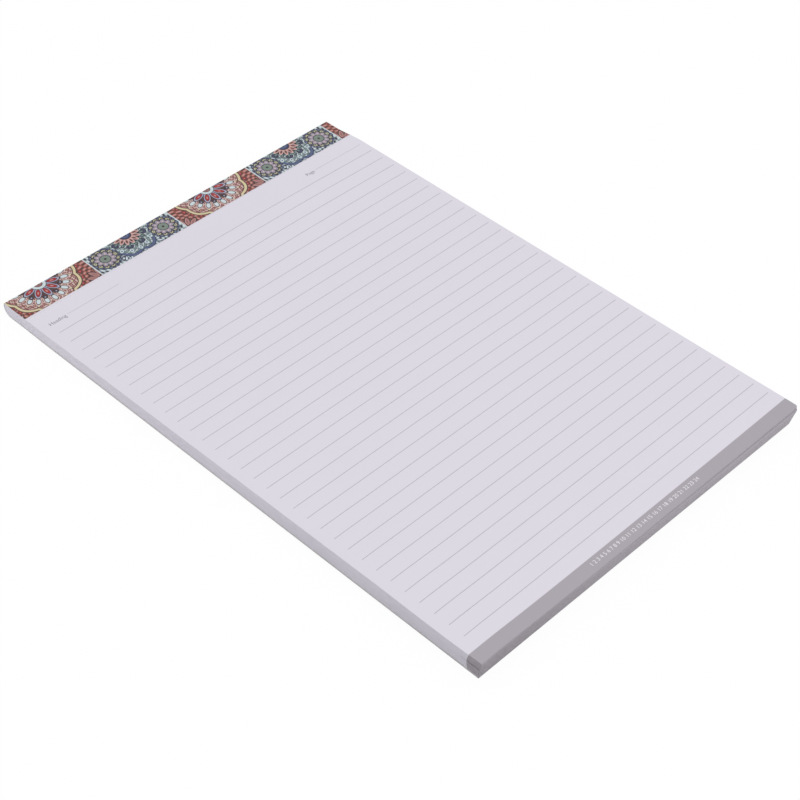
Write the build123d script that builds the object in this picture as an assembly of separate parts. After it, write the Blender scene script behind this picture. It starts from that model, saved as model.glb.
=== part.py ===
"""A4 legal pad: ruled sheets on a backing board, stapled and bound at the head by a wrapped paper strip.

Frame: millimetres, X across the page, Y towards the bound head, Z up.
The pad lies on its board, and the origin is under the middle of the page.
"""
import os

from build123d import *

# Overall size
pad_width = 210.0
pad_length = 297.0
head_height = 6.2
foot_height = 8.8

# Backing board and sheets
board_thickness = 0.8
bundle_count = 5
bundle_slip = 0.12

# Binding strip
strip_thickness = 0.12
strip_front = 16.0
strip_back = 16.0
head_top_radius = 0.4
head_bottom_radius = 4.5
head_flat = 0.5

# Tear-off perforation
perforation_gap = 0.8
slit_length = 1.6
slit_width = 0.15
tie_length = 0.9

# Staples
staple_count = 2
staple_spacing = 110.0
staple_setback = 8.0
crown_length = 12.0
clinch_length = 4.0
wire_diameter = 0.5
wire_bend_radius = 0.6
wire_sink = 0.02
wire_clearance = 0.05

# The stack that the strip wraps: its two ends and its height without the strip
head_y = pad_length / 2 - strip_thickness
foot_y = -pad_length / 2
stack_head_height = head_height - strip_thickness
board_foot_y = foot_y + bundle_count * bundle_slip


def stack_top(y):
    """Height of the top sheet along the pad: it climbs from the pressed head to the loose foot."""
    run = (head_y - y) / (head_y - foot_y)
    return stack_head_height + (foot_height - stack_head_height) * run


def strip_path():
    """Inner line of the strip: top sheet, round the head, and the seat pressed into the board's underside."""
    front_y = pad_length / 2 - strip_front
    back_y = pad_length / 2 - strip_back
    head_room = stack_head_height - strip_thickness - head_top_radius - head_flat
    return FilletPolyline(
        (front_y, stack_top(front_y)),
        (head_y, stack_head_height),
        (head_y, strip_thickness),
        (back_y, strip_thickness),
        radius=[head_top_radius, min(head_bottom_radius, head_room)],
    )


def foot_steps():
    """Foot edge from the board up: each bundle of sheets reaches a little past the one below it."""
    points = [(board_foot_y, 0), (board_foot_y, board_thickness)]
    bundle_height = (foot_height - board_thickness) / bundle_count
    for bundle in range(bundle_count):
        edge_y = board_foot_y - (bundle + 1) * bundle_slip
        low = board_thickness + bundle * bundle_height
        points += [(edge_y, low), (edge_y, low + bundle_height)]
    return points


def stack_section():
    """Long section through sheets and board together, in the pad's Y and Z."""
    head = strip_path()
    back_y = (head @ 1).X
    front = ((head @ 0).X, (head @ 0).Y)
    rest = Polyline((back_y, strip_thickness), (back_y, 0), *foot_steps(), front)
    return make_face(head.edges() + rest.edges())


def across_width(section):
    """Long section drawn in Y and Z, carried across the full width of the page."""
    return extrude(Plane.YZ * section, pad_width / 2, both=True)


def board_zone():
    """Rectangle over the board's thickness, for parting the stack's section."""
    return Rectangle(2 * pad_length, 2 * board_thickness)


def staple_path(x):
    """Middle line of one staple's wire: crown on the top sheet, ends clinched inward under the board."""
    y = pad_length / 2 - staple_setback
    crown_z = stack_top(y) - wire_diameter / 2 - wire_sink
    clinch_z = strip_thickness + wire_diameter / 2 + wire_sink
    left = x - crown_length / 2
    right = x + crown_length / 2
    return FilletPolyline(
        (left + clinch_length, y, clinch_z),
        (left, y, clinch_z),
        (left, y, crown_z),
        (right, y, crown_z),
        (right, y, clinch_z),
        (right - clinch_length, y, clinch_z),
        radius=wire_bend_radius,
    )


def along(path, section):
    """Section swept along a wire's middle line."""
    start = Plane(path @ 0, z_dir=path % 0)
    return sweep(start * section, path=path)


def staple_paths():
    """Middle lines of all staples, evenly spread along the head."""
    return [staple_path(place.position.X) for place in GridLocations(staple_spacing, 0, staple_count, 1)]


def staples():
    """Round wire staples."""
    return [along(path, Circle(wire_diameter / 2)) for path in staple_paths()]


def staple_channels():
    """Room for the wire through sheets and board, open at the top sheet and under the board."""
    width = wire_diameter + 2 * wire_clearance
    return [along(path, Rectangle(width, width)) for path in staple_paths()]


def perforation():
    """Row of tear-off slits just below the strip, from edge to edge of the page."""
    pitch = slit_length + tie_length
    count = int((pad_width - tie_length) // pitch)
    y = pad_length / 2 - strip_front - perforation_gap
    depth = foot_height - board_thickness
    row = GridLocations(pitch, 0, count, 1)
    slit = Box(slit_length, slit_width, depth, align=(Align.CENTER, Align.CENTER, Align.MIN))
    return [Pos(0, y, board_thickness) * place * slit for place in row]


def sheet_block():
    """All sheets as one block, perforated and pierced by the staples."""
    block = across_width(stack_section() - board_zone())
    return block - perforation() - staple_channels()


def backing_board():
    """Grey board under the sheets, with the strip's seat and the staples' clinches let into it."""
    return across_width(stack_section() & board_zone()) - staple_channels()


def binding_strip():
    """Printed paper strip folded round the head, from the top sheet to the board's underside."""
    path = strip_path()
    return across_width(make_face(offset(path, strip_thickness, side=Side.LEFT).edges()))


os.makedirs("parts", exist_ok=True)
export_step(sheet_block(), "parts/sheet_block.step")
export_step(backing_board(), "parts/backing_board.step")
export_step(binding_strip(), "parts/binding_strip.step")
export_step(Compound(children=staples()), "parts/staples.step")
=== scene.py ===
"""Legal pad: the looks of a head-bound A4 writing pad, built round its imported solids.

Lengths are metres. X runs across the page, Y towards the bound head and Z up.
"""
import math
from functools import partialmethod

import bmesh
import bpy
import numpy as np
from bpy.props import FloatProperty, FloatVectorProperty, IntProperty, PointerProperty, StringProperty
from bpy.types import Operator, Panel, PropertyGroup
from mathutils import Matrix, Vector


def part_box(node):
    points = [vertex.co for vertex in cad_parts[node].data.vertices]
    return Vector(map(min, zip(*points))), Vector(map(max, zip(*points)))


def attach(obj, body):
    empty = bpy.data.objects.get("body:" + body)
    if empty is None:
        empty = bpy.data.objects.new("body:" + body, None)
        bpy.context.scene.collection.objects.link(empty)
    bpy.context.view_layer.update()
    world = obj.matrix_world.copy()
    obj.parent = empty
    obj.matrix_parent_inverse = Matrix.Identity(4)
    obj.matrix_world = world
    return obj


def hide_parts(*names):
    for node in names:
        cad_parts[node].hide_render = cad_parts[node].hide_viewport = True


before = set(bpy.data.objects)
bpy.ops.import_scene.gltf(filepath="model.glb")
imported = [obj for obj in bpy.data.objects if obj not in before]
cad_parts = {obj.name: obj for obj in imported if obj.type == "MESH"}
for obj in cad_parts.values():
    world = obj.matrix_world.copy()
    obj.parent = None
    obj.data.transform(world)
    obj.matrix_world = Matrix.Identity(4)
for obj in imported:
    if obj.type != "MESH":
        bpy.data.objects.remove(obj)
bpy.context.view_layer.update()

bl_info = {
    "name": "Legal Pad",
    "version": (1, 0, 0),
    "blender": (4, 5, 0),
    "location": "View3D > Sidebar > Legal Pad",
    "description": "Builds a ruled, head-bound writing pad on its solids",
    "category": "Object",
}

MM = 0.001
BODY = "root"

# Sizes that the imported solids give
SHEETS_LOW, SHEETS_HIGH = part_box("sheet_block")
BOARD_LOW, BOARD_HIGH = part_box("backing_board")
STRIP_LOW, STRIP_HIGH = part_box("binding_strip")
HALF_WIDTH = SHEETS_HIGH.x
HEAD_Y = SHEETS_HIGH.y
FOOT_Y = SHEETS_LOW.y
PAGE_LENGTH = STRIP_HIGH.y - FOOT_Y
STRIP_THICKNESS = STRIP_HIGH.y - HEAD_Y
STRIP_EDGE_Y = STRIP_LOW.y
STRIP_EDGE_Z = STRIP_HIGH.z - STRIP_THICKNESS
PAGE_SLOPE = (SHEETS_HIGH.z - STRIP_EDGE_Z) / (STRIP_EDGE_Y - FOOT_Y)

# The strip's lower fold, from where it meets the board's upper face
BOARD_SET_BACK = HEAD_Y - BOARD_HIGH.y
BOARD_RISE = BOARD_HIGH.z - STRIP_THICKNESS
HEAD_RADIUS = BOARD_SET_BACK + BOARD_RISE + math.sqrt(2 * BOARD_SET_BACK * BOARD_RISE)
HEAD_TOP_RADIUS = 0.4 * MM

# Print lies this far into and above the paper, and its letters have this many steps to a curve
PRINT_SUNK = 0.03 * MM
PRINT_PROUD = 0.015 * MM
LETTER_STEPS = 3

# Distance from the far edge over which the pad's head is drawn in
PINCH_REACH = 7 * MM

# Broad waves of the loose sheets: height, place from the left and the head edge, reach across and along
WAVES = np.array([
    (0.42, 75, 155, 65, 40),
    (-0.35, 115, 98, 60, 16),
    (0.5, 12, 262, 16, 75),
    (-0.3, 165, 190, 18, 70),
]) * MM

# Power that sets the crest of the swelling below the strip a little to the right
SWELL_LEAN = 1.2

# The band's edge: share of the height of the cut edges over which it bows, and its softness in millimetres
BOW_REACH = 0.84
BAND_SOFTNESS = 0.06

# Half the soft rim of each ink of the strip, in millimetres
INK_SOFTNESS = 0.07

# Points closer than this are one, and a length that is divided by is at least this
WELD = 0.0005 * MM
TINY = 0.001 * MM


def ink(red, green, blue):
    """Linear colour from the 8-bit values of a swatch."""
    def linear(value):
        share = value / 255
        return share / 12.92 if share <= 0.04045 else ((share + 0.055) / 1.055) ** 2.4
    return tuple(linear(value) for value in (red, green, blue))


def setting(kind, name, description, default, **options):
    """Property of one of Blender's kinds."""
    return kind(name=name, description=description, default=default, **options)


def length(name, description, millimetres):
    """Property for a length, given in millimetres."""
    return setting(FloatProperty, name, description, millimetres * MM, unit="LENGTH", precision=5)


def number(name, description, default):
    """Property for a whole number."""
    return setting(IntProperty, name, description, default, min=1)


def fraction(name, description, default):
    """Property for a share of a whole."""
    return setting(FloatProperty, name, description, default, subtype="FACTOR", min=0.0, max=1.0)


def bearing(name, description, degrees):
    """Property for an angle, given in degrees."""
    return setting(FloatProperty, name, description, math.radians(degrees), subtype="ANGLE")


def colour(name, description, *swatch):
    """Property for a colour, given by the 8-bit values of a swatch."""
    return setting(FloatVectorProperty, name, description, ink(*swatch),
                   size=3, subtype="COLOR", min=0.0, max=1.0)


class SheetSettings(PropertyGroup):
    """The block of loose sheets and the board under it."""
    count: number("Sheets", "Sheets in the pad", 50)
    bundles: number("Bundles", "Bundles that have slipped on each other", 5)
    seed: number("Seed", "Seed of the sheets' small shifts", 7)
    groove: length("Groove", "How far the gap between two sheets is set back", 0.05)
    jog: length("Jog", "Usual shift of one sheet", 0.04)
    fan: length("Fan", "How far the lowest sheet's foot has swung to the left", 0.33)
    flare: length("Flare", "How far the top sheet's near foot corner reaches out to the left", 0.3)
    flare_start: length("Flare start", "From the foot to where the left edge starts to flare", 62)
    flare_run: length("Flare run", "Distance over which the left edge flares", 36)
    board_shift: length("Board shift", "How far the board lies to the left below the strip", 0.2)
    board_run: length("Board run", "Distance below the strip over which the board comes out", 12)
    turn: length("Turn", "How far the board's foot sticks out at the right and is set back at the left", 0.3)
    slip: length("Slip", "How far each bundle's foot reaches past the bundle below", 0.12)
    ledge: length("Ledge", "How far the foot under the top few sheets sticks out at the right", 1.3)
    overhang: length("Overhang", "How far the top few sheets' own foot sticks out at the right", 0.31)
    ledge_sheets: number("Ledge sheets", "Sheets above the ledge", 5)
    near_lift: length("Near lift", "How far the near foot corner of the top sheet curls up", 0.5)
    far_lift: length("Far lift", "How far the far foot corner of the top sheet curls up", 0.25)
    corner_reach: length("Corner reach", "Distance over which a corner curls", 42)
    curl_reach: length("Curl reach", "The same for the near corner along the long side", 10)
    roll: length("Roll", "How far the upper sheets' foot is fanned at the near corner", 0.3)
    fanned: number("Fanned sheets", "Upper sheets that are fanned at the foot", 7)
    top_wear: length("Top wear", "Radius to which the top sheets' far foot corner is worn", 1.6)
    low_wear: length("Low wear", "Radius to which the far foot corner is worn further down", 4.0)
    puff: length("Puff", "How far the loose sheets swell up below the strip", 1.42)
    puff_place: length("Puff place", "From the head edge to the top of the swelling", 36)
    puff_reach: length("Puff reach", "Distance over which the swelling dies away towards the foot", 24)
    gape_sheet: number("Gapes under", "Sheet under which the near corner gapes", 25)
    gape: length("Gape", "Height of the gap by the near corner", 0.6)
    gape_place: length("Gape place", "From the foot to the middle of the gap", 4.0)
    gape_reach: length("Gape reach", "Half the length of the gap along the long side", 4.2)
    gape_depth: length("Gape depth", "Depth of the gap by the near corner", 4.0)
    pinch: length("Pinch", "How far the head's far end is drawn in", 1.65)
    pinch_start: length("Pinch start", "From the head edge to where the far end starts to widen", 7)
    pinch_run: length("Pinch run", "Distance over which the far end widens", 17)
    head_gap: length("Head gap", "Room between the sheets' heads and the strip", 0.35)
    paper: colour("Paper", "Writing paper", 222, 218, 228)
    edge: colour("Cut edge", "Cut edges of the sheets", 222, 219, 228)
    board: colour("Board", "Grey backing board", 206, 203, 205)


class PrintSettings(PropertyGroup):
    """What is printed on each sheet."""
    line_count: number("Lines", "Ruled lines on a page", 32)
    first_line: length("First line", "First ruled line, from the head edge", 33.55)
    line_pitch: length("Pitch", "Distance between ruled lines", 8.027)
    line_width: length("Line width", "Width of a ruled line", 0.25)
    left_margin: length("Left margin", "From the left edge to the ruling", 5.4)
    right_margin: length("Right margin", "From the ruling to the right edge", 2.5)
    field_line: length("Field line", "Foot of the header words, from the head edge", 27.3)
    field_size: length("Field size", "Type size of the header words", 3.0)
    field_gap: length("Field gap", "From a header word to its hairline", 1.0)
    field_rise: length("Field rise", "From the foot of the header words up to their hairlines", 1.1)
    field_rule: length("Field rule", "Width of the header fields' hairlines", 0.26)
    left_word: setting(StringProperty, "Left word", "Word at the left of the header", "Heading")
    left_rule_end: length("Left rule end", "From the left edge to the end of the left hairline", 47)
    right_word: setting(StringProperty, "Right word", "Word at the right of the header", "Page")
    right_field: length("Right field", "From the left edge to the right field", 168.5)
    right_rule_end: length("Right rule end", "From the left edge to the end of the right hairline", 207)
    tear_gap: length("Tear gap", "From the strip's edge to the tear-off slits", 0.8)
    slit_pitch: length("Slit pitch", "Distance between tear-off slits", 2.5)
    slit_length: length("Slit length", "Length of a tear-off slit", 1.6)
    slit_width: length("Slit width", "Width of a tear-off slit", 0.1)
    band_height: length("Foot band", "Height of the printed band at the foot", 6.7)
    band_bow: length("Band bow", "How much higher the band's edge is halfway down the cut edges", 0.67)
    band_curve: length("Band curve", "How much higher the band's edge is at both ends of the page", 0.3)
    hours: number("Hours", "Hours numbered in the band", 24)
    hour_start: length("Hours start", "From the left edge to the row of hours", 70.3)
    hour_foot: length("Hours foot", "From the foot edge to the foot of the hours", 2.95)
    hour_size: length("Hours size", "Type size of the hours", 2.78)
    line: colour("Ruling", "Ruled lines", 172, 169, 177)
    hairline: colour("Hairlines", "Hairlines of the header fields", 192, 189, 198)
    word: colour("Words", "Header words", 136, 134, 140)
    # Painted shade: the tear-off slits are not cut, and this colour stands in for the shadow inside them
    slit: colour("Slits", "Shade in a tear-off slit", 196, 193, 200)
    band: colour("Band", "Foot band", 172, 167, 174)
    hour: colour("Hour ink", "Numbers in the foot band", 232, 229, 235)


class StripSettings(PropertyGroup):
    """The printed strip round the head."""
    tile: length("Tile", "Width of one tile of the print", 52.5)
    first_joint: length("First joint", "First joint between tiles, from the left edge", 46)
    joint: length("Joint", "Width of the pale joint between tiles", 0.6)
    skew: length("Skew", "How much further the strip reaches down at the right end", 0.9)
    core: colour("Paper core", "Cut edges and inside of the strip", 206, 204, 208)
    brick: colour("Brick", "Ground of the warm tiles", 143, 77, 67)
    salmon: colour("Salmon", "Field of the warm rosettes", 188, 136, 130)
    mauve: colour("Mauve", "Dark beads of the warm rosettes", 148, 104, 104)
    blush: colour("Blush", "Pale beads of the warm rosettes", 212, 188, 184)
    cream: colour("Cream", "Scalloped border of the warm tiles", 210, 196, 158)
    umber: colour("Umber", "Outlines of the warm tiles", 84, 60, 58)
    crimson: colour("Crimson", "Petals and beads", 158, 42, 48)
    lilac: colour("Lilac", "Petal outlines", 168, 168, 192)
    ice: colour("Ice", "Leaves and joints", 202, 214, 218)
    soot: colour("Soot", "Darkest outlines", 52, 48, 56)
    frost: colour("Frost", "Ground of the cool tiles", 143, 157, 163)
    slate: colour("Slate", "Scalloped border of the cool tiles", 84, 96, 130)
    navy: colour("Navy", "Outlines of the cool tiles", 56, 60, 92)
    teal: colour("Teal", "Sprigs of the cool tiles", 108, 132, 130)
    violet: colour("Violet", "Ground of the side flowers", 92, 84, 128)
    dove: colour("Dove", "Petals of the side flowers", 154, 145, 160)
    olive: colour("Olive", "Beads of the side flowers", 146, 140, 112)


class StageSettings(PropertyGroup):
    """Camera, floor and light."""
    aim: setting(FloatVectorProperty, "Aim", "Point in the middle of the picture",
                 (-17.92 * MM, -20.94 * MM, 5 * MM), size=3, subtype="XYZ", unit="LENGTH")
    distance: length("Distance", "From the aim to the camera", 885.33)
    azimuth: bearing("Azimuth", "Camera's turn round the pad, from the foot", -48.719)
    elevation: bearing("Elevation", "Camera's height above the horizon", 43.756)
    roll: bearing("Roll", "Camera's turn about its own axis", 3.64)
    lens: setting(FloatProperty, "Lens", "Focal length", 89.827, unit="CAMERA")
    sky: setting(FloatProperty, "Sky", "Level of the light from all round", 0.9)
    key: setting(FloatProperty, "Key", "Power of the soft lamp", 11.0, unit="POWER")
    bounce: fraction("Bounce", "Share of light that the floor gives back", 0.86)
    near_bounce: fraction("Near bounce", "The same by the near corner", 0.22)
    shade: fraction("Shade", "Strength of the shadow on the floor", 0.06)


class Wire:
    """One output of a node. Python's operators on it add the Math nodes that they stand for."""

    def __init__(self, graph, socket):
        self.graph = graph
        self.socket = socket

    def math(self, operation, *others):
        """Math node with this wire first."""
        return self.graph.node("ShaderNodeMath", {"operation": operation}, dict(enumerate((self, *others))))

    def __rsub__(self, first):
        return self.graph.node("ShaderNodeMath", {"operation": "SUBTRACT"}, {0: first, 1: self})

    __add__ = __radd__ = partialmethod(math, "ADD")
    __mul__ = __rmul__ = partialmethod(math, "MULTIPLY")
    __sub__ = partialmethod(math, "SUBTRACT")
    __mod__ = partialmethod(math, "FLOORED_MODULO")
    __abs__ = partialmethod(math, "ABSOLUTE")

    def step(self, low, high):
        """Smooth step from 0 at low to 1 at high."""
        ends = {"Value": self, "From Min": low, "From Max": high}
        return self.graph.node("ShaderNodeMapRange", {"interpolation_type": "SMOOTHSTEP"}, ends)

    def sway(self, amount):
        """Noise as a change by half the amount to either side."""
        return (self - 0.5) * amount

    def mix(self, below, above):
        """Colour between two colours, with this wire as the factor."""
        ends = {0: self, 6: opaque(below), 7: opaque(above)}
        return self.graph.node("ShaderNodeMix", {"data_type": "RGBA"}, ends, output=2)

    def shades(self, base, low, high):
        """Colour between two strengths of a base colour, with this wire as the factor."""
        return self.mix(scaled(base, low), scaled(base, high))

    def parts(self):
        """X, Y and Z of a vector."""
        split = self.graph.node("ShaderNodeSeparateXYZ", None, {0: self}).socket.node
        return [Wire(self.graph, output) for output in split.outputs]

    def times(self, other):
        """Vector or colour times another, part by part."""
        return self.graph.node("ShaderNodeVectorMath", {"operation": "MULTIPLY"}, {0: self, 1: other})

    def grey(self):
        """Colour with this wire in all three parts."""
        return self.graph.node("ShaderNodeCombineXYZ", None, {0: self, 1: self, 2: self})


def opaque(value):
    """Colour for a colour socket: a wire as it is, numbers with full alpha."""
    return value if isinstance(value, Wire) else (*value, 1.0)


def scaled(base, strength):
    """Colour made lighter or darker."""
    return tuple(part * strength for part in base)


class Graph:
    """A node tree while it is written. Every node comes from node()."""

    def __init__(self, owner):
        owner.use_nodes = True
        self.tree = owner.node_tree
        self.tree.nodes.clear()

    def node(self, kind, settings=None, inputs=None, output=0):
        """Adds a node: its settings first, then the values or links of its sockets."""
        made = self.tree.nodes.new(kind)
        for key, value in (settings or {}).items():
            setattr(made, key, value)
        for key, value in (inputs or {}).items():
            if isinstance(value, Wire):
                self.tree.links.new(value.socket, made.inputs[key])
            else:
                made.inputs[key].default_value = value
        return Wire(self, made.outputs[output]) if made.outputs else None

    def seen(self):
        """1 on what the camera sees, also in a reflection or through glass."""
        camera, glossy, clear = (
            self.node("ShaderNodeLightPath", output=kind)
            for kind in ("Is Camera Ray", "Is Glossy Ray", "Is Transmission Ray")
        )
        return camera.math("MAXIMUM", glossy).math("MAXIMUM", clear)


class Finish(Graph):
    """One procedural material round a Principled shader."""

    def __init__(self, name, **constants):
        self.material = bpy.data.materials.new(name)
        super().__init__(self.material)
        sockets = {key.replace("_", " "): value for key, value in constants.items()}
        self.shader = self.node("ShaderNodeBsdfPrincipled", None, sockets)
        self.node("ShaderNodeOutputMaterial", None, {"Surface": self.shader})

    def feed(self, **wires):
        """Links wires to the shader's sockets."""
        for key, wire in wires.items():
            self.tree.links.new(wire.socket, self.shader.socket.node.inputs[key.replace("_", " ")])

    def place(self):
        """Position on the pad, in millimetres."""
        return self.node("ShaderNodeTexCoord", output="Object").times((1 / MM, 1 / MM, 1 / MM))

    def facing(self):
        """Surface direction on the pad."""
        return self.node("ShaderNodeTexCoord", output="Normal")

    def noise(self, vector, scale=1.0, detail=2.0, roughness=0.5):
        """Noise from 0 to 1."""
        sockets = {"Vector": vector, "Scale": scale, "Detail": detail, "Roughness": roughness}
        return self.node("ShaderNodeTexNoise", None, sockets)

    def relief(self, height, depth, strength):
        """Feeds the shader's Normal with a fine relief."""
        sockets = {"Height": height, "Distance": depth, "Strength": strength}
        self.feed(Normal=self.node("ShaderNodeBump", None, sockets))


def set_material(mesh, material):
    """Gives a mesh one finish all over."""
    mesh.materials.clear()
    mesh.materials.append(material)


def new_object(name, data):
    """Object in the scene."""
    made = bpy.data.objects.new(name, data)
    bpy.context.scene.collection.objects.link(made)
    return made


def new_piece(mesh, material):
    """Object for a finished mesh, with the mesh's name, riding on the pad."""
    piece = new_object(mesh.name, mesh)
    set_material(mesh, material)
    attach(piece, BODY)
    return piece


def new_mesh(name, points, faces):
    """Mesh from points and faces that are all sound."""
    mesh = bpy.data.meshes.new(name)
    mesh.from_pydata([tuple(point) for point in points], [], faces)
    if mesh.validate():
        raise RuntimeError(f"{name} has faces that do not hold")
    mesh.update()
    return mesh


def welded(name, shape):
    """Mesh from a bmesh whose solids are closed up."""
    bmesh.ops.remove_doubles(shape, verts=shape.verts, dist=WELD)
    bmesh.ops.recalc_face_normals(shape, faces=shape.faces)
    mesh = bpy.data.meshes.new(name)
    shape.to_mesh(mesh)
    shape.free()
    return mesh


def add_map(mesh, name, spots):
    """UV map from one place per face corner."""
    layer = mesh.uv_layers.new(name=name)
    layer.data.foreach_set("uv", np.asarray(spots, float).ravel())


def on_map(area, u, v):
    """Place on a UV map, from its shares of an area's width and height."""
    left, low, wide, tall = area
    return left + wide * u, low + tall * v


def shade_by_angle(mesh, degrees):
    """Smooth shading, with sharper creases kept hard."""
    mesh.shade_smooth()
    mesh.set_sharp_from_angle(angle=math.radians(degrees))


def from_head(distance):
    """Y of a place given from the head edge."""
    return STRIP_HIGH.y - distance


def from_left(distance):
    """X of a place given from the left edge."""
    return -HALF_WIDTH + distance


def bell(distance, reach):
    """Bell curve that is 1 at no distance."""
    return np.exp(-np.square(distance / reach))


def smooth(share):
    """Smooth step from 0 to 1."""
    share = np.clip(share, 0, 1)
    return share * share * (3 - 2 * share)


def page_plane(y):
    """Height of the flat page along the pad."""
    return STRIP_EDGE_Z + (STRIP_EDGE_Y - y) * PAGE_SLOPE


def corner_lift(sheets, x, y):
    """How far the two foot corners of the top sheet curl up, the far one less but over more of its side."""
    near = bell(x + HALF_WIDTH, sheets.corner_reach) * bell(y - FOOT_Y, sheets.curl_reach)
    far = bell(x - HALF_WIDTH, sheets.corner_reach) * bell(y - FOOT_Y, sheets.corner_reach)
    return sheets.near_lift * near + sheets.far_lift * far


def swelling(sheets, x, y):
    """How far the top sheet swells up between the tear line and the flat page."""
    across = np.clip((x + HALF_WIDTH) / (2 * HALF_WIDTH), 0, 1)
    crest = from_head(sheets.puff_place)
    rise = smooth((STRIP_EDGE_Y - y) / (STRIP_EDGE_Y - crest))
    fall = bell(np.minimum(y - crest, 0), sheets.puff_reach)
    return sheets.puff * np.sin(np.pi * across ** SWELL_LEAN) * rise * fall


def pinched(sheets, x, y):
    """X with the head's far end drawn in."""
    share = np.clip(1 - (HALF_WIDTH - x) / PINCH_REACH, 0, 1)
    widening = smooth((from_head(sheets.pinch_start) - y) / sheets.pinch_run)
    return x - sheets.pinch * share * (1 - widening)


def gaping(sheets, x, y):
    """1 in the middle of the gap by the near corner, falling to 0 round it."""
    return bell(np.hypot(x + HALF_WIDTH, y - FOOT_Y - sheets.gape_place), sheets.gape_reach)


def waves(sheets, x, y):
    """How far the top sheet lies above its plane where the stack is loose."""
    rise = corner_lift(sheets, x, y) + swelling(sheets, x, y)
    for height, left, head, wide, tall in WAVES:
        rise = rise + height * bell(x - from_left(left), wide) * bell(y - from_head(head), tall)
    return rise


def page_height(sheets, x, y):
    """Height of the top sheet."""
    return page_plane(y) + waves(sheets, x, y)


def rounded_back(depth, radius):
    """How far a round edge lies back at a depth past its start."""
    depth = np.clip(depth, 0, radius)
    return radius - np.sqrt(radius ** 2 - depth ** 2)


def head_set_back(z):
    """How far the stack's head is rounded back at a height."""
    low = rounded_back(STRIP_THICKNESS + HEAD_RADIUS - z, HEAD_RADIUS)
    high = rounded_back(z - page_plane(HEAD_Y) + HEAD_TOP_RADIUS, HEAD_TOP_RADIUS)
    return low + high


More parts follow.
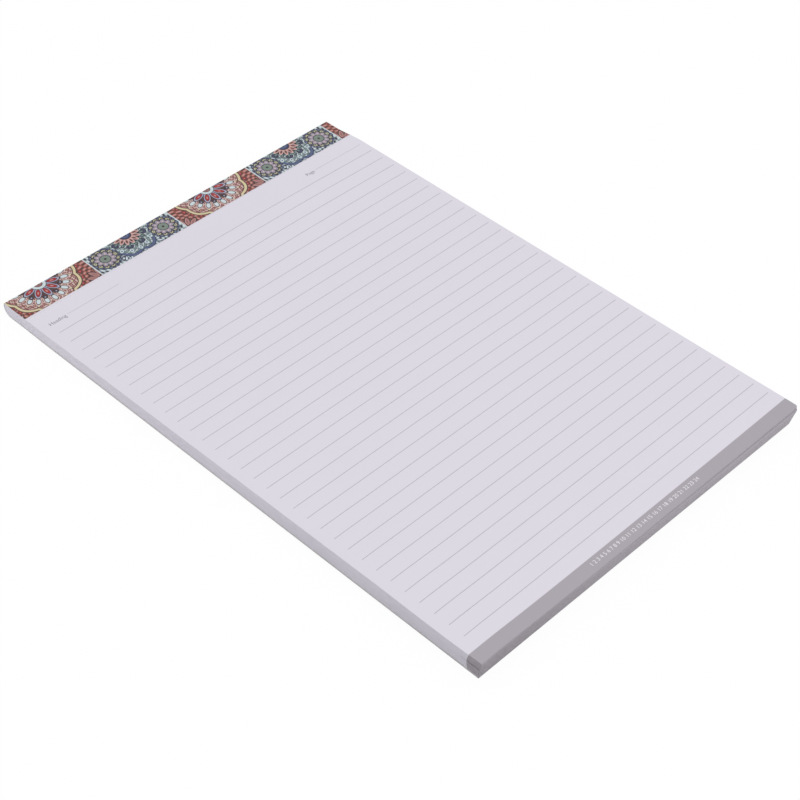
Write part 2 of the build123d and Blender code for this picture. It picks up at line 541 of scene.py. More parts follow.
class SheetStack:
    """Mesh of the block: rings of points round each sheet's two edges and round each gap between sheets."""

    # Share of a sheet's thickness that each of its bevelled edges takes
    EDGE_BEVEL = 0.14

    # The roll at the foot: its share far from the near corner, its reach across, and the share sticking out
    ROLL_REST = 0.4
    ROLL_REACH = 0.2
    ROLL_OUT = 0.5

    # Share of the overhang that is there at the left end
    OVERHANG_LEFT = 0.25

    # Shares of the width: where the ledge starts, and over which it grows
    LEDGE_START = 0.1
    LEDGE_RUN = 0.8

    # Share of the foot's shifts that is gone at the lowest sheet
    FADING = 0.75

    # Share of the page, from the head, over which the sheets' sideways shifts grow
    JOG_RUN = 1 / 3

    # Distances of the rim's points from a foot corner, and the steps between points further on
    CORNER_STATIONS = np.array([0.0, 0.4, 0.8, 1.2, 1.6, 2.3, 3.0, 3.7, 4.5, 5.5, 7.0]) * MM
    WIDE_STEP = 4 * MM
    FINE_STEP = 1.5 * MM

    # From the head edge to the end of the fine steps, and the number of points under the strip
    SWELL_END = 125 * MM
    HEAD_STATIONS = 6

    # Areas of the bake map: left, low, width and height
    TOP_MAP = (0.01, 0.01, 0.65, 0.94)
    UNDER_MAP = (0.84, 0.70, 0.15, 0.25)

    # Foot, right, head and left side: which part of a rim place runs along it, and its column on the bake map
    SIDES = (
        (0, (0.84, 0.01, 0.06, 0.66)),
        (1, (0.76, 0.01, 0.06, 0.94)),
        (0, (0.92, 0.01, 0.06, 0.66)),
        (1, (0.68, 0.01, 0.06, 0.94)),
    )

    def __init__(self, sheets):
        self.sheets = sheets
        draws = np.random.RandomState(sheets.seed).normal(0, sheets.jog, (2, sheets.count))
        self.side_jog, self.foot_jog = np.clip(draws, -2 * sheets.jog, 2 * sheets.jog)
        self.across = self.stations_across()
        self.along = self.stations_along()
        self.columns, self.rows = len(self.across) - 1, len(self.along) - 1
        foot = np.column_stack([self.across[:-1], np.zeros(self.columns)])
        right = np.column_stack([np.ones(self.rows), self.along[:-1]])
        head = np.column_stack([self.across[:0:-1], np.ones(self.columns)])
        left = np.column_stack([np.zeros(self.rows), self.along[:0:-1]])
        self.rim = np.vstack([foot, right, head, left])
        self.side = np.repeat(np.arange(len(self.SIDES)), [len(part) for part in (foot, right, head, left)])

    def stations_across(self):
        """Places of the points across the page, from 0 at the left to 1, close together at both corners."""
        near, width = self.CORNER_STATIONS, 2 * HALF_WIDTH
        between = np.arange(near[-1] + self.WIDE_STEP, width - near[-1] - self.WIDE_STEP / 2, self.WIDE_STEP)
        return np.concatenate([near, between, width - near[::-1]]) / width

    def stations_along(self):
        """Places of the points along the page, from 0 at the foot to 1, closer where the sheets swell."""
        near = self.CORNER_STATIONS
        swell, strip = PAGE_LENGTH - self.SWELL_END, STRIP_EDGE_Y - FOOT_Y
        flat = np.arange(near[-1] + self.WIDE_STEP, swell, self.WIDE_STEP)
        fine = np.arange(swell, strip, self.FINE_STEP)
        head = np.linspace(strip, PAGE_LENGTH, self.HEAD_STATIONS)
        return np.concatenate([near, flat, fine, head]) / PAGE_LENGTH

    def foot_edge(self, sheet, across):
        """Foot edge of one sheet: fanned on top, and with a ledge at the right under the top few."""
        sheets = self.sheets
        below = sheets.bundles - 1 - sheet * sheets.bundles // sheets.count
        depth = sheets.count - 1 - sheet
        roll = sheets.roll * (self.ROLL_REST + (1 - self.ROLL_REST) * bell(across, self.ROLL_REACH))
        shift = roll * (max(0, 1 - depth / sheets.fanned) ** 2 - self.ROLL_OUT)
        if depth < sheets.ledge_sheets:
            shift = shift - sheets.overhang * (self.OVERHANG_LEFT + (1 - self.OVERHANG_LEFT) * across)
        else:
            shift = shift - sheets.ledge * smooth((across - self.LEDGE_START) / self.LEDGE_RUN)
        fading = self.FADING * max(0, depth - sheets.fanned) / (sheets.count - sheets.fanned)
        return FOOT_Y + sheets.slip * below + shift * (1 - fading) + abs(self.foot_jog[sheet])

    def worn(self, sheet, x, y, foot):
        """X and Y with the far foot corner rounded off, more on the lower sheets."""
        sheets = self.sheets
        depth = min(1, (sheets.count - 1 - sheet) / sheets.fanned)
        wear = sheets.top_wear + (sheets.low_wear - sheets.top_wear) * depth
        out_x, out_y = np.maximum(x - HALF_WIDTH + wear, 0), np.maximum(foot + wear - y, 0)
        cut = 1 - np.maximum(out_x, out_y) / np.maximum(np.hypot(out_x, out_y), TINY)
        return x - out_x * cut, y + out_y * cut

    def points(self, places, sheet, level, inset=0.0):
        """Points of one sheet at places (across, along), from level 0 on the board to level 1 on top."""
        sheets = self.sheets
        across, along = places[:, 0], places[:, 1]
        head_z = BOARD_HIGH.z + (page_plane(HEAD_Y) - BOARD_HIGH.z) * level
        head = HEAD_Y - sheets.head_gap - head_set_back(head_z)
        foot = self.foot_edge(sheet, across)
        x, y = self.worn(sheet, HALF_WIDTH * (2 * across - 1), foot + (head - foot) * along, foot)
        z = BOARD_HIGH.z + (page_plane(y) - BOARD_HIGH.z) * level + waves(sheets, x, y) * level ** 2
        if sheet >= sheets.gape_sheet:
            z = z + sheets.gape * gaping(sheets, x, y) * (1 - level) / (1 - sheets.gape_sheet / sheets.count)
        flare = smooth((sheets.flare_start - y + FOOT_Y) / sheets.flare_run) * (1 - across)
        swing = sheets.fan * (1 - level) * (1 - along) + sheets.flare * level * flare
        loose = np.minimum(1, (1 - along) / self.JOG_RUN)
        x = pinched(sheets, x, y) * (1 - inset / HALF_WIDTH) - swing + self.side_jog[sheet] * loose
        y = y + inset * (1 - 2 * along)
        return np.column_stack([x, y, z])

    def rings(self):
        """Rings of rim points from the board up."""
        sheets = self.sheets
        x, y = HALF_WIDTH * (2 * self.rim[:, 0] - 1), FOOT_Y + PAGE_LENGTH * self.rim[:, 1]
        bevel = self.EDGE_BEVEL / sheets.count
        made = []
        for sheet in range(sheets.count):
            low, high = sheet / sheets.count, (sheet + 1) / sheets.count
            if sheet:
                gape = sheets.gape_depth * gaping(sheets, x, y) if sheet == sheets.gape_sheet else 0.0
                made.append(self.points(self.rim, sheet - 1, low, sheets.groove + gape))
            made.append(self.points(self.rim, sheet, low + bevel if sheet else low))
            made.append(self.points(self.rim, sheet, high - bevel if sheet < sheets.count - 1 else high))
        return made

    def grid(self, first_rim, first_inner):
        """Point numbers of a cap's whole grid, from its rim ring and its inner points."""
        across, along = self.columns, self.rows
        grid = np.zeros((along + 1, across + 1), int)
        grid[0, :] = first_rim + np.arange(across + 1)
        grid[:, across] = first_rim + across + np.arange(along + 1)
        grid[along, ::-1] = first_rim + across + along + np.arange(across + 1)
        grid[1:, 0] = first_rim + 2 * across + along + np.arange(along)[::-1]
        inner = np.arange((along - 1) * (across - 1)).reshape(along - 1, across - 1)
        grid[1:-1, 1:-1] = first_inner + inner
        return grid

    def side_faces(self, ring_count):
        """Faces between neighbouring rings, with their places on the bake map."""
        around = len(self.rim)
        faces, spots = [], []
        for ring in range(ring_count - 1):
            for i in range(around):
                j = (i + 1) % around
                square = ((ring, i), (ring, j), (ring + 1, j), (ring + 1, i))
                faces.append([r * around + k for r, k in square])
                axis, area = self.SIDES[self.side[i]]
                spots += [on_map(area, r / (ring_count - 1), self.rim[k, axis]) for r, k in square]
        return faces, spots

    def cap_faces(self, grid, area, upward):
        """Faces of the top or the under face, with their places on the bake map."""
        corners = ((0, 0), (0, 1), (1, 1), (1, 0)) if upward else ((0, 0), (1, 0), (1, 1), (0, 1))
        faces, spots = [], []
        for row in range(self.rows):
            for column in range(self.columns):
                square = [(row + r, column + c) for r, c in corners]
                faces.append([int(grid[place]) for place in square])
                spots += [on_map(area, self.across[c], self.along[r]) for r, c in square]
        return faces, spots

    def mesh(self):
        """The block as one closed mesh."""
        rings = self.rings()
        rows, columns = np.meshgrid(self.along[1:-1], self.across[1:-1], indexing="ij")
        inner = np.column_stack([columns.ravel(), rows.ravel()])
        under = self.points(inner, 0, 0.0)
        top = self.points(inner, self.sheets.count - 1, 1.0)
        in_rings = len(rings) * len(self.rim)
        under_grid = self.grid(0, in_rings)
        top_grid = self.grid(in_rings - len(self.rim), in_rings + len(under))
        parts = [
            self.side_faces(len(rings)),
            self.cap_faces(under_grid, self.UNDER_MAP, upward=False),
            self.cap_faces(top_grid, self.TOP_MAP, upward=True),
        ]
        faces, spots = (sum(part, []) for part in zip(*parts))
        made = new_mesh("paper_stack", np.vstack([*rings, under, top]), faces)
        add_map(made, "OFBake", spots)
        shade_by_angle(made, degrees=25)
        return made


def paper_finish(sheets, printing):
    """Writing paper with a fine tooth, grey at the foot where the band runs over the edge."""
    finish = Finish("writing_paper", Specular_IOR_Level=0.15)
    place = finish.place()
    x, y, z = place.parts()
    edge = 1 - abs(finish.facing().parts()[2]).step(0.5, 0.8)
    tooth = finish.noise(place, scale=2.6, detail=4.0, roughness=0.6)
    cloud = finish.noise(place, scale=0.045, detail=3.0)
    streak = finish.noise(place.times((0.02, 0.02, 9.0)), detail=3.0, roughness=0.7)
    waver = finish.noise(place.times((0.05, 0.05, 4.0)))
    depth = (1 - z * (MM / SHEETS_HIGH.z)).math("MAXIMUM", 0.0)
    bow = depth * (BOW_REACH - depth) * (printing.band_bow / MM / (BOW_REACH / 2) ** 2)
    curve = x * x * (printing.band_curve * MM / HALF_WIDTH ** 2)
    band_edge = (FOOT_Y + printing.band_height) / MM
    band_ends = band_edge - BAND_SOFTNESS, band_edge + BAND_SOFTNESS
    band = 1 - (y - bow - curve + waver.sway(0.3) * edge).step(*band_ends)
    base = band.mix(edge.mix(sheets.paper, sheets.edge), printing.band)
    shade = 1 + tooth.sway(0.03) + cloud.sway(0.02) + streak.sway(0.06) * edge
    finish.feed(Base_Color=base.times(shade.grey()), Roughness=0.8 + tooth * 0.15)
    finish.relief(tooth + streak * 0.15 * edge, depth=0.02 * MM, strength=0.3)
    return finish.material


class PAD_OT_sheets(Operator):
    """Block of sheets with each cut edge, the slipped foot and the curled corners"""
    bl_idname = "pad.sheets"
    bl_label = "Sheets"

    def execute(self, context):
        sheets, printing = context.scene.pad_sheets, context.scene.pad_print
        piece = new_piece(SheetStack(sheets).mesh(), paper_finish(sheets, printing))
        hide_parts("sheet_block")
        return {"FINISHED"}


class Slabs:
    """Thin closed slabs of print that follow the page."""

    def __init__(self, sheets):
        self.sheets = sheets
        self.points = []
        self.faces = []

    def bar(self, x0, x1, y0, y1, steps=1):
        """One slab over a rectangle of the page, divided across."""
        x = np.linspace(x0, x1, steps + 1)
        first = len(self.points)
        for y in (np.full_like(x, y0), np.full_like(x, y1)):
            page = page_height(self.sheets, x, y)
            for rise in (-PRINT_SUNK, PRINT_PROUD):
                self.points += list(zip(x, y, page + rise))
        low0, top0, low1, top1 = (first + (steps + 1) * row for row in range(4))
        for i in range(steps):
            j = i + 1
            self.faces += [
                (top0 + i, top0 + j, top1 + j, top1 + i),
                (low0 + i, low1 + i, low1 + j, low0 + j),
                (low0 + i, low0 + j, top0 + j, top0 + i),
                (low1 + i, top1 + i, top1 + j, low1 + j),
            ]
        self.faces += [
            (low0, top0, top1, low1),
            (low0 + steps, low1 + steps, top1 + steps, top0 + steps),
        ]

    def mesh(self, name):
        """All slabs as one mesh."""
        return new_mesh(name, self.points, self.faces)


def add_word(shape, sheets, text, size, x, y):
    """Adds a word's letters to a bmesh, as thin closed solids on the page. Returns where the word ends."""
    curve = bpy.data.curves.new("word", "FONT")
    curve.body = text
    curve.size = size
    curve.extrude = (PRINT_SUNK + PRINT_PROUD) / 2
    curve.resolution_u = LETTER_STEPS
    holder = new_object("word", curve)
    graph = bpy.context.evaluated_depsgraph_get()
    mesh = bpy.data.meshes.new_from_object(holder.evaluated_get(graph))
    mesh.transform(Matrix.Translation((x, y, (PRINT_PROUD - PRINT_SUNK) / 2)))
    for vertex in mesh.vertices:
        vertex.co.z += page_height(sheets, vertex.co.x, vertex.co.y)
    end = max(vertex.co.x for vertex in mesh.vertices)
    shape.from_mesh(mesh)
    bpy.data.objects.remove(holder)
    bpy.data.curves.remove(curve)
    bpy.data.meshes.remove(mesh)
    return end


def print_finish(name, base):
    """Flat ink on paper, a little uneven."""
    finish = Finish(name, Specular_IOR_Level=0.15)
    uneven = finish.noise(finish.place(), scale=1.8, detail=3.0, roughness=0.6)
    finish.feed(Base_Color=uneven.shades(base, 0.9, 1.1), Roughness=0.75 + uneven * 0.2)
    return finish.material


def new_print(mesh, ink_name, base):
    """Piece of print on the top sheet."""
    new_piece(mesh, print_finish(ink_name, base))


class PAD_OT_ruling(Operator):
    """Ruled lines of the page"""
    bl_idname = "pad.ruling"
    bl_label = "Ruling"

    STEPS = 64

    def execute(self, context):
        printing = context.scene.pad_print
        slabs = Slabs(context.scene.pad_sheets)
        left, right = from_left(printing.left_margin), HALF_WIDTH - printing.right_margin
        half = printing.line_width / 2
        for line in range(printing.line_count):
            y = from_head(printing.first_line + line * printing.line_pitch)
            slabs.bar(left, right, y - half, y + half, self.STEPS)
        new_print(slabs.mesh("ruling"), "ruling_ink", printing.line)
        return {"FINISHED"}


class PAD_OT_header(Operator):
    """Two header words, each with the hairline to write on"""
    bl_idname = "pad.header"
    bl_label = "Header"

    STEPS = 12

    def execute(self, context):
        sheets, printing = context.scene.pad_sheets, context.scene.pad_print
        y = from_head(printing.field_line)
        rule_low = y + printing.field_rise
        rule_high = rule_low + printing.field_rule
        shape = bmesh.new()
        rules = Slabs(sheets)
        for word, start, end in (
            (printing.left_word, printing.left_margin, printing.left_rule_end),
            (printing.right_word, printing.right_field, printing.right_rule_end),
        ):
            word_end = add_word(shape, sheets, word, printing.field_size, from_left(start), y)
            rules.bar(word_end + printing.field_gap, from_left(end), rule_low, rule_high, self.STEPS)
        new_print(welded("header_words", shape), "header_ink", printing.word)
        new_print(rules.mesh("header_rules"), "hairline_ink", printing.hairline)
        return {"FINISHED"}


class PAD_OT_hours(Operator):
    """Row of plain hour numbers, printed in the foot band"""
    bl_idname = "pad.hours"
    bl_label = "Hour numbers"

    def execute(self, context):
        sheets, printing = context.scene.pad_sheets, context.scene.pad_print
        shape = bmesh.new()
        row = " ".join(str(hour) for hour in range(1, printing.hours + 1))
        x, y = from_left(printing.hour_start), FOOT_Y + printing.hour_foot
        add_word(shape, sheets, row, printing.hour_size, x, y)
        new_print(welded("hour_numbers", shape), "hour_ink", printing.hour)
        return {"FINISHED"}


class PAD_OT_tear_line(Operator):
    """Row of tear-off slits just below the strip: the slits are not cut, their shade is painted on thin slabs
    laid on the page
    """
    bl_idname = "pad.tear_line"
    bl_label = "Tear line"

    def execute(self, context):
        printing = context.scene.pad_print
        slabs = Slabs(context.scene.pad_sheets)
        y = STRIP_EDGE_Y - printing.tear_gap
        half, reach = printing.slit_width / 2, printing.slit_length / 2
        count = int(2 * HALF_WIDTH // printing.slit_pitch)
        for slit in range(count):
            x = (slit - (count - 1) / 2) * printing.slit_pitch
            slabs.bar(x - reach, x + reach, y - half, y + half)
        # Each slab is painted shade, standing in for the shadow inside one slit
        new_print(slabs.mesh("tear_slit_shade"), "slit_shade", printing.slit)
        return {"FINISHED"}


class StripMesh:
    """Closed mesh of the strip: its section follows the stack round the head, over the pad's whole width."""

    # Divisions across the pad, along each flat run and round each fold
    COLUMNS = 28
    FLAT_STEPS = 8
    FOLD_STEPS = 12

    # Share of the width at which the askew front edge crosses its straight line
    SKEW_PIVOT = 0.45

    # The bake map holds the printed width in four blocks, two by two, and the plain faces in an area above
    BLOCKS = 4
    BLOCK_MAP = (0.485, 0.42)
    MAP_MARGIN = 0.01
    PLAIN_MAP = (0.02, 0.9, 0.9, 0.08)
    OFF_PRINT = (-1.0, -1.0)

    def __init__(self, sheets, skew):
        self.sheets = sheets
        self.skew = skew
        corners = [
            Vector((STRIP_EDGE_Y, page_plane(STRIP_EDGE_Y))),
            Vector((HEAD_Y, page_plane(HEAD_Y))),
            Vector((HEAD_Y, STRIP_THICKNESS)),
            Vector((STRIP_EDGE_Y, STRIP_THICKNESS)),
        ]
        self.inner, self.outer = self.section(corners, [HEAD_TOP_RADIUS, HEAD_RADIUS])
        steps = [(b - a).length for a, b in zip(self.outer, self.outer[1:])]
        self.run = np.concatenate([[0], np.cumsum(steps)])
        self.fold_run = self.run[self.FLAT_STEPS + self.FOLD_STEPS // 2]

    def section(self, corners, radii):
        """Inner and outer points in Y and Z: straight runs, and an arc at each inner corner."""
        inner, normals = [], []
        start = corners[0]
        for i, radius in enumerate(radii, 1):
            into, out = ((corners[k + 1] - corners[k]).normalized() for k in (i - 1, i))
            turn = into.angle(out)
            begin = corners[i] - into * radius * math.tan(turn / 2)
            outward = Vector((-into.y, into.x))
            centre = begin - outward * radius
            for step in range(self.FLAT_STEPS):
                inner.append(start.lerp(begin, step / self.FLAT_STEPS))
                normals.append(outward)
            for step in range(self.FOLD_STEPS):
                direction = Matrix.Rotation(-turn * step / self.FOLD_STEPS, 2) @ outward
                inner.append(centre + direction * radius)
                normals.append(direction)
            start = corners[i] + out * radius * math.tan(turn / 2)
        outward = Vector((-out.y, out.x))
        for step in range(self.FLAT_STEPS + 1):
            inner.append(start.lerp(corners[-1], step / self.FLAT_STEPS))
            normals.append(outward)
        outer = [point + normal * STRIP_THICKNESS for point, normal in zip(inner, normals)]
        return inner, outer

    def slant(self, column, row):
        """Shift in Y and Z that sets the front edge a little askew."""
        downhill = (self.outer[0] - self.outer[self.FLAT_STEPS]).normalized()
        share = max(0.0, 1 - row / self.FLAT_STEPS)
        return downhill * self.skew * share * (column / self.COLUMNS - self.SKEW_PIVOT)

    def x(self, column, row):
        """Place across the pad, drawn in at the far end."""
        return float(pinched(self.sheets, HALF_WIDTH * (2 * column / self.COLUMNS - 1), self.outer[row].x))

    def print_spot(self, column, row):
        """Place on the print: metres from the left edge, and metres below the head's fold on the front."""
        return HALF_WIDTH + self.x(column, row), self.fold_run - self.run[row]

    def bake_spot(self, block, column, row):
        """Place of a printed point on the bake map."""
        wide, tall = self.BLOCK_MAP
        left = self.MAP_MARGIN + (block % 2) * (wide + self.MAP_MARGIN)
        low = self.MAP_MARGIN + (block // 2) * (tall + self.MAP_MARGIN)
        across = column * self.BLOCKS / self.COLUMNS - block
        return on_map((left, low, wide, tall), across, self.run[row] / self.run[-1])

    def plain_spot(self, column, row):
        """Place of a plain point on the bake map."""
        return on_map(self.PLAIN_MAP, column / self.COLUMNS, self.run[row] / self.run[-1])

    def mesh(self):
        """The strip with its bake map and the map of its print."""
        rows = len(self.outer)
        points = []
        for column in range(self.COLUMNS + 1):
            for section in (self.outer, self.inner):
                for row, point in enumerate(section):
                    points.append((self.x(column, row), *(point + self.slant(column, row))))
        faces, printed, baked = [], [], []

        def add(corners, on_print=False):
            """One face from its corners (column, row, layer), with layer 0 outside and 1 inside."""
            faces.append([(2 * column + layer) * rows + row for column, row, layer in corners])
            block = min(column for column, _, _ in corners) * self.BLOCKS // self.COLUMNS
            for column, row, _ in corners:
                printed.append(self.print_spot(column, row) if on_print else self.OFF_PRINT)
                baked.append(self.bake_spot(block, column, row) if on_print else self.plain_spot(column, row))

        last, end = rows - 1, self.COLUMNS
        for c in range(end):
            for r in range(last):
                square = [(c, r), (c + 1, r), (c + 1, r + 1), (c, r + 1)]
                add([(*place, 0) for place in square], on_print=True)
                add([(*place, 1) for place in square[::-1]])
            add([(c, 0, 1), (c + 1, 0, 1), (c + 1, 0, 0), (c, 0, 0)])
            add([(c, last, 0), (c + 1, last, 0), (c + 1, last, 1), (c, last, 1)])
        for r in range(last):
            add([(0, r, 0), (0, r + 1, 0), (0, r + 1, 1), (0, r, 1)])
            add([(end, r, 1), (end, r + 1, 1), (end, r + 1, 0), (end, r, 0)])
        made = new_mesh("head_strip", points, faces)
        add_map(made, "OFBake", baked)
        add_map(made, "StripPrint", printed)
        shade_by_angle(made, degrees=40)
        return made


class Rosette:
    """Polar drawing about one point of the print. A field is millimetres from an edge, negative inside."""

    # Level of the weave above which a bead lies, and the part of a pitch over which the weave changes by 1
    BEAD_LEVEL = 0.3
    WEAVE_SLOPE = 1 / 8

    def __init__(self, x, y):
        self.radius = (x * x + y * y).math("SQRT")
        self.turn = x.math("ARCTAN2", y)

    def disc(self, radius):
        """Plain disc."""
        return self.radius - radius

    def scallop(self, radius, count, depth):
        """Disc whose rim bulges count times."""
        return self.radius - abs((self.turn * (count / 2)).math("SINE")) * depth - radius

    def beads(self, count, pitch, sign=1):
        """Beads all round, count to a ring and pitch between rings. Sign -1 gives those in between."""
        weave = (self.turn * count).math("SINE") * (self.radius * (2 * math.pi / pitch)).math("SINE")
        return (self.BEAD_LEVEL - weave * sign) * (pitch * self.WEAVE_SLOPE)

    def beadwork(self, count, pitch, first_ink, second_ink):
        """Layers of beads in two inks by turns."""
        return [(self.beads(count, pitch), first_ink), (self.beads(count, pitch, -1), second_ink)]

    def petal_axes(self, count, middle, across, along, phase):
        """Sideways and lengthways place in the nearest petal, each 1 at its end."""
        sector = 2 * math.pi / count
        swing = (self.turn + (phase + 0.5) * sector) % sector - sector / 2
        side = self.radius * swing.math("SINE") * (1 / across)
        reach = (self.radius * swing.math("COSINE") - middle) * (1 / along)
        return side, reach

    def petals(self, count, middle, across, along, phase=0.0):
        """Ring of round petals."""
        side, reach = self.petal_axes(count, middle, across, along, phase)
        return ((side * side + reach * reach).math("SQRT") - 1) * across

    def blades(self, count, middle, across, along, phase=0.0):
        """Ring of pointed leaves."""
        side, reach = self.petal_axes(count, middle, across, along, phase)
        return (abs(side) + reach * reach - 1) * across


def outlined(field, **rims):
    """Layers of one shape: each ink as far out as its number says, from the widest in."""
    return [(field - reach, ink_name) for ink_name, reach in rims.items()]


def inside(region, layers):
    """Layers kept within a region."""
    return [(field.math("MAXIMUM", region), ink_name) for field, ink_name in layers]


def painted(strip, ground, layers):
    """Colour of inks laid on a ground one after another, each inside its field."""
    for field, ink_name in layers:
        ground = field.step(INK_SOFTNESS, -INK_SOFTNESS).mix(ground, getattr(strip, ink_name))
    return ground


def warm_tile(x, y, half):
    """Terracotta tile: a rosette on the fold in a scalloped border, and quarter flowers at the joints."""
    middle = Rosette(x, y)
    corner = Rosette(abs(x) - half, abs(y) - 17.5)
    border = middle.scallop(17.6, 10, 1.5)
    heart = middle.disc(9.6)
    return [
        *corner.beadwork(14, 2.7, "umber", "salmon"),
        *outlined(corner.blades(12, 5.4, 1.1, 3.2), soot=0.5, salmon=0.0, mauve=-0.5),
        *outlined(corner.disc(2.2), soot=0.5, crimson=0.0, cream=-1.2),
        *outlined(middle.petals(30, 21.0, 0.8, 0.8), umber=0.5, crimson=0.1, salmon=-0.5),
        *outlined(border, umber=1.9, cream=1.3),
        *outlined(border, umber=0.0, salmon=-0.5),
        *inside(border + 0.5, middle.beadwork(25, 2.9, "mauve", "blush")),
        *inside(border + 0.5, [(middle.beads(50, 1.45), "umber")]),
        *outlined(middle.petals(20, 16.0, 0.5, 0.5), umber=0.4, cream=0.1),
        *outlined(middle.petals(20, 12.9, 1.1, 2.0), blush=0.6, umber=0.25, ice=-0.1),
        *outlined(middle.petals(10, 10.4, 0.9, 0.9, 0.5), umber=0.5, soot=0.1, lilac=-0.5),
        *outlined(heart, soot=0.3, crimson=0.0),
        *inside(heart, middle.beadwork(20, 2.2, "umber", "soot")),
        *outlined(middle.blades(10, 7.0, 0.6, 2.4, 0.5), soot=0.3, umber=0.0),
        *outlined(middle.petals(10, 6.8, 1.1, 2.6),
                  soot=0.8, lilac=0.5, umber=0.1, crimson=-0.1, salmon=-0.7),
        *outlined(middle.disc(3.6), soot=0.5, ice=0.2, umber=-1.3, mauve=-1.7),
        (middle.disc(0.8), "soot"),
    ]


def cool_tile(x, y, half):
    """Blue tile: a rosette on the fold in a slate border, and a round flower to each side."""
    middle = Rosette(x, y)
    flower = Rosette(abs(x) - (half - 8.2), abs(y) - 7.6)
    border = middle.scallop(13.0, 8, 2.0)
    ring = flower.scallop(7.0, 12, 0.7)
    eye = flower.disc(2.5)
    return [
        *middle.beadwork(34, 2.6, "soot", "ice"),
        *outlined(middle.blades(40, 17.6, 0.5, 1.6), navy=0.4, ice=0.0),
        *outlined(border, navy=1.6, slate=1.1),
        *outlined(border, navy=0.0, frost=-0.35),
        *inside(border + 0.35, middle.beadwork(22, 2.7, "teal", "ice")),
        *inside(border + 0.35, [(middle.beads(44, 1.35), "soot")]),
        *outlined(middle.petals(16, 12.2, 0.8, 1.2), teal=0.4, ice=0.1, slate=-0.4),
        *outlined(middle.petals(8, 9.4, 1.5, 1.3, 0.5), soot=0.4, navy=0.0, slate=-0.6, lilac=-1.0),
        *outlined(middle.petals(16, 8.6, 0.5, 0.8), soot=0.4, teal=0.0),
        *outlined(middle.disc(7.4), teal=0.3, soot=0.0),
        *outlined(middle.petals(14, 5.2, 0.75, 1.8), blush=0.3, salmon=0.1, umber=-0.3),
        *outlined(middle.disc(3.0), soot=0.4, navy=0.0, slate=-0.9),
        (middle.disc(1.0), "soot"),
        *outlined(ring, navy=0.4, violet=0.0),
        *inside(ring, flower.beadwork(18, 1.9, "teal", "soot")),
        *outlined(flower.petals(12, 6.0, 1.1, 0.9), soot=0.35, olive=0.0, cream=-0.3, teal=-0.6),
        *outlined(flower.petals(10, 3.9, 1.15, 1.6), soot=0.4, dove=0.0, blush=-0.8),
        *outlined(eye, soot=0.4, teal=0.0),
        *inside(eye, [(flower.beads(9, 1.3), "olive"), (flower.disc(0.7), "soot")]),
    ]


def strip_finish(strip):
    """Satin printed paper: warm and cool ornamental tiles with pale joints, and a pale core at its cuts."""
    finish = Finish("strip_print", Specular_IOR_Level=0.3)
    spot = finish.node("ShaderNodeUVMap", {"uv_map": "StripPrint"}).times((1 / MM, 1 / MM, 1 / MM))
    u, y = spot.parts()[:2]
    tile, half, half_joint = strip.tile / MM, strip.tile / MM / 2, strip.joint / MM / 2
    along = u - strip.first_joint / MM
    x = along % tile - half
    warm = (along % (2 * tile)).step(tile - INK_SOFTNESS, tile + INK_SOFTNESS)
    cloud = finish.noise(finish.place(), scale=1.2, detail=3.0)
    print_colour = warm.mix(
        painted(strip, cloud.shades(strip.frost, 0.8, 1.1), cool_tile(x, y, half)),
        painted(strip, cloud.shades(strip.brick, 0.8, 1.2), warm_tile(x, y, half)),
    )
    print_colour = painted(strip, print_colour, [(half - half_joint - abs(x), "ice")])
    # Off the print, u lies far below 0
    core = u.step(-0.5, -1.0)
    fibre = finish.noise(finish.place(), scale=5.0, detail=3.0)
    base = core.mix(print_colour, strip.core).times((0.96 + fibre * 0.08).grey())
    finish.feed(Base_Color=base, Roughness=0.45 + fibre * 0.15 + core * 0.3)
    finish.relief(fibre, depth=0.01 * MM, strength=0.2)
    return finish.material


class PAD_OT_binding(Operator):
    """Printed paper strip folded round the head"""
    bl_idname = "pad.binding"
    bl_label = "Binding strip"

    def execute(self, context):
        sheets, strip = context.scene.pad_sheets, context.scene.pad_strip
        piece = new_piece(StripMesh(sheets, strip.skew).mesh(), strip_finish(strip))
        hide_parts("binding_strip")
        return {"FINISHED"}


def board_finish(base):
    """Grey recycled board: pressed fibres, pale and dark flecks."""
    finish = Finish("grey_board", Specular_IOR_Level=0.15)
    place = finish.place()
    fibre = finish.noise(place.times((0.9, 3.0, 6.0)), detail=5.0, roughness=0.65)
    pale_fleck = finish.noise(place, scale=2.2).step(0.66, 0.74)
    dark_fleck = finish.noise(place.times((1.0, 1.0, 2.0)), scale=3.1, detail=1.0).step(0.32, 0.26)
    cloud = finish.noise(place, scale=0.06, detail=3.0)
    pulp = fibre.shades(base, 0.75, 1.25)
    pulp = (pale_fleck * 0.5).mix(pulp, scaled(base, 1.7))
    pulp = (dark_fleck * 0.6).mix(pulp, scaled(base, 0.45))
    finish.feed(Base_Color=pulp.times((0.92 + cloud * 0.16).grey()), Roughness=0.8 + fibre * 0.15)
    finish.relief(fibre, depth=0.06 * MM, strength=0.4)
    return finish.material


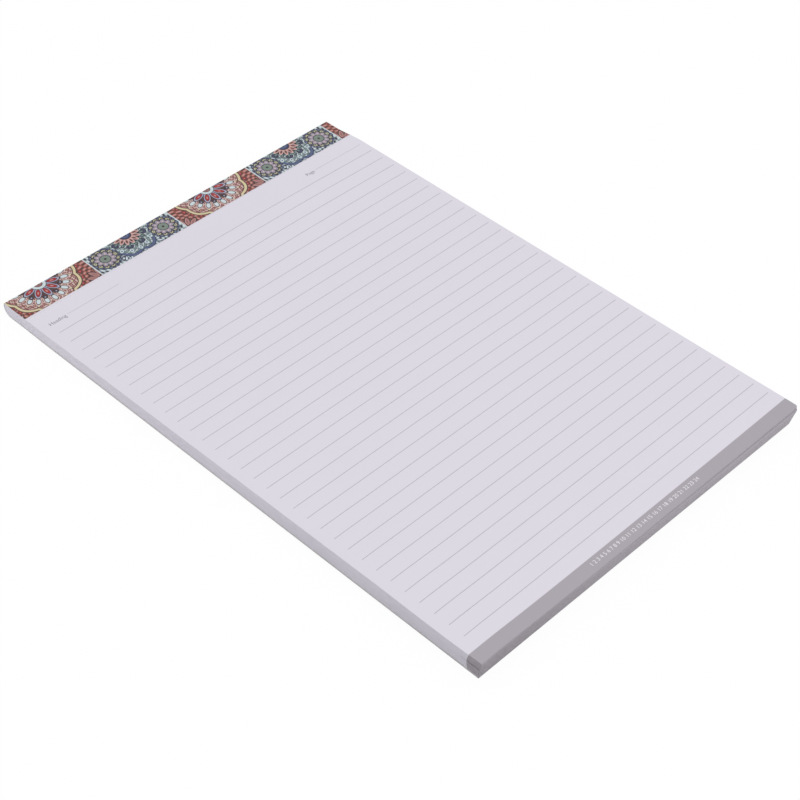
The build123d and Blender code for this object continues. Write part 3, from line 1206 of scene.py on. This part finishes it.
class PAD_OT_board(Operator):
    """Grey backing board, swung a little under the sheets and worn at the far foot corner"""
    bl_idname = "pad.board"
    bl_label = "Backing board"

    WEAR_STEPS = 8

    def execute(self, context):
        sheets = context.scene.pad_sheets
        piece = new_piece(self.mesh(sheets), board_finish(sheets.board))
        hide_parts("backing_board")
        return {"FINISHED"}

    def cut(self, shape, point, direction, **options):
        """Cuts a bmesh by a plane, and returns the new edges."""
        parts = [*shape.verts, *shape.edges, *shape.faces]
        made = bmesh.ops.bisect_plane(
            shape, geom=parts, dist=WELD, plane_co=point, plane_no=direction, **options
        )
        return [part for part in made["geom_cut"] if isinstance(part, bmesh.types.BMEdge)]

    def mesh(self, sheets):
        """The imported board's mesh, cut to a round corner and swung about the head."""
        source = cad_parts["backing_board"]
        shape = bmesh.new()
        shape.from_mesh(source.data)
        shape.transform(source.matrix_world)
        bmesh.ops.remove_doubles(shape, verts=shape.verts, dist=WELD)
        self.cut(shape, (0, STRIP_EDGE_Y - sheets.board_run, 0), (0, 1, 0))
        wear = sheets.low_wear
        centre = Vector((HALF_WIDTH - wear, BOARD_LOW.y + wear, 0))
        for step in range(self.WEAR_STEPS):
            angle = math.pi / 2 * (step + 0.5) / self.WEAR_STEPS
            outward = Vector((math.cos(angle), -math.sin(angle), 0))
            edges = self.cut(shape, centre + outward * wear, outward, clear_outer=True)
            bmesh.ops.edgeloop_fill(shape, edges=edges)
        for vertex in shape.verts:
            share = (HEAD_Y - vertex.co.y) / PAGE_LENGTH
            vertex.co.y -= sheets.turn * share * vertex.co.x / HALF_WIDTH
            shift = sheets.board_shift * smooth((STRIP_EDGE_Y - vertex.co.y) / sheets.board_run)
            swing = shift + (sheets.fan - sheets.board_shift) * share
            vertex.co.x = pinched(sheets, vertex.co.x, vertex.co.y) - swing
        made = welded("board", shape)
        shade_by_angle(made, degrees=30)
        return made


def wire_finish():
    """Drawn steel wire with fine marks along it."""
    dark, pale = ink(168, 168, 172), ink(206, 206, 210)
    finish = Finish("staple_wire", Metallic=1.0)
    mark = finish.noise(finish.place().times((0.6, 20.0, 20.0)), detail=3.0, roughness=0.6)
    finish.feed(Base_Color=mark.mix(dark, pale), Roughness=0.25 + mark * 0.2)
    finish.relief(mark, depth=0.01 * MM, strength=0.3)
    return finish.material


class PAD_OT_staples(Operator):
    """Wire staples under the strip"""
    bl_idname = "pad.staples"
    bl_label = "Staples"

    def execute(self, context):
        set_material(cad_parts["staples"].data, wire_finish())
        return {"FINISHED"}


class PAD_OT_stage(Operator):
    """Floor, soft light and camera"""
    bl_idname = "pad.stage"
    bl_label = "Stage"

    WHITE = (1.0, 1.0, 1.0)
    FLOOR_REACH = 6.0
    FLOOR_DROP = 0.1 * MM

    # The dimmer floor by the near corner: distances where it starts and ends, and its stretch across
    NEAR_REACH = (-0.06, 0.3)
    NEAR_STRETCH = (2.0, 1.0, 1.0)

    LAMP_PLACE = Vector((0.3, -2.0, 2.25))
    LAMP_SIZE = 2.0

    def execute(self, context):
        stage = context.scene.pad_stage
        self.floor(stage)
        self.sky(context, stage)
        self.lamp(stage)
        self.camera(context, stage)
        context.scene.view_settings.view_transform = "Standard"
        return {"FINISHED"}

    def floor(self, stage):
        """White paper sweep. It gives back less light by the near corner, where the set ends."""
        reach, drop = self.FLOOR_REACH, -self.FLOOR_DROP
        corners = [(-reach, -reach, drop), (reach, -reach, drop), (reach, reach, drop), (-reach, reach, drop)]
        floor = new_object("floor", new_mesh("floor", corners, [(0, 1, 2, 3)]))
        material = bpy.data.materials.new("floor_paper")
        graph = Graph(material)
        corner = Vector((-HALF_WIDTH, FOOT_Y, drop)) * Vector(self.NEAR_STRETCH)
        place = graph.node("ShaderNodeTexCoord", output="Object").times(self.NEAR_STRETCH)
        ends = {0: place, 1: corner}
        away = graph.node("ShaderNodeVectorMath", {"operation": "DISTANCE"}, ends, output="Value")
        near, far, lit = (
            graph.node("ShaderNodeBsdfDiffuse", None, {"Color": opaque(scaled(self.WHITE, level))})
            for level in (stage.near_bounce, stage.bounce, 1.0)
        )
        dim = graph.node("ShaderNodeMixShader", None, {0: away.step(*self.NEAR_REACH), 1: near, 2: far})
        glow = graph.node("ShaderNodeEmission", None, {"Color": opaque(self.WHITE)})
        white = graph.node("ShaderNodeMixShader", None, {0: stage.shade, 1: glow, 2: lit})
        both = graph.node("ShaderNodeMixShader", None, {0: graph.seen(), 1: dim, 2: white})
        graph.node("ShaderNodeOutputMaterial", None, {"Surface": both})
        set_material(floor.data, material)

    def sky(self, context, stage):
        """Even light from all round, and a white background."""
        context.scene.world = bpy.data.worlds.new("studio")
        graph = Graph(context.scene.world)
        light, white = (
            graph.node("ShaderNodeBackground", None, {"Color": opaque(self.WHITE), "Strength": strength})
            for strength in (stage.sky, 1.0)
        )
        both = graph.node("ShaderNodeMixShader", None, {0: graph.seen(), 1: light, 2: white})
        graph.node("ShaderNodeOutputWorld", None, {"Surface": both})

    def lamp(self, stage):
        """Large round lamp above the foot, turned to the pad."""
        data = bpy.data.lights.new("softbox", "AREA")
        data.shape = "DISK"
        data.size = self.LAMP_SIZE
        data.energy = stage.key
        lamp = new_object("softbox", data)
        lamp.location = self.LAMP_PLACE
        lamp.rotation_euler = (-self.LAMP_PLACE).to_track_quat("-Z", "Y").to_euler()

    def camera(self, context, stage):
        """Camera at its distance and bearings from the aim."""
        data = bpy.data.cameras.new("camera")
        data.lens = stage.lens
        camera = new_object("camera", data)
        turn, rise = stage.azimuth, stage.elevation
        back = Vector((math.sin(turn) * math.cos(rise), -math.cos(turn) * math.cos(rise), math.sin(rise)))
        level = Vector((0, 0, 1)).cross(back).normalized()
        right = level * math.cos(stage.roll) + back.cross(level) * math.sin(stage.roll)
        facing = Matrix((right, back.cross(right), back)).transposed().to_4x4()
        camera.matrix_world = Matrix.Translation(Vector(stage.aim) + back * stage.distance) @ facing
        context.scene.camera = camera


class PAD_PT_sidebar(Panel):
    """The pad's pieces and settings"""
    bl_label = "Legal Pad"
    bl_idname = "PAD_PT_sidebar"
    bl_space_type = "VIEW_3D"
    bl_region_type = "UI"
    bl_category = "Legal Pad"

    def draw(self, context):
        for operator in OPERATORS:
            self.layout.operator(operator.bl_idname)
        for name, group in SETTINGS.items():
            box = self.layout.box()
            for key in group.__annotations__:
                box.prop(getattr(context.scene, name), key)


OPERATORS = (
    PAD_OT_sheets,
    PAD_OT_ruling,
    PAD_OT_header,
    PAD_OT_hours,
    PAD_OT_tear_line,
    PAD_OT_binding,
    PAD_OT_board,
    PAD_OT_staples,
    PAD_OT_stage,
)
SETTINGS = {
    "pad_sheets": SheetSettings,
    "pad_print": PrintSettings,
    "pad_strip": StripSettings,
    "pad_stage": StageSettings,
}


def register():
    """Adds the classes and the scene's settings to Blender."""
    for made in (*SETTINGS.values(), *OPERATORS, PAD_PT_sidebar):
        bpy.utils.register_class(made)
    for name, group in SETTINGS.items():
        setattr(bpy.types.Scene, name, PointerProperty(type=group))


def unregister():
    """Takes the settings and the classes away again."""
    for name in SETTINGS:
        delattr(bpy.types.Scene, name)
    for made in (PAD_PT_sidebar, *OPERATORS, *SETTINGS.values()):
        bpy.utils.unregister_class(made)


def main():
    """Builds the pad and its stage."""
    register()
    for operator in OPERATORS:
        family, name = operator.bl_idname.split(".")
        getattr(getattr(bpy.ops, family), name)()


if __name__ == "__main__":
    main()
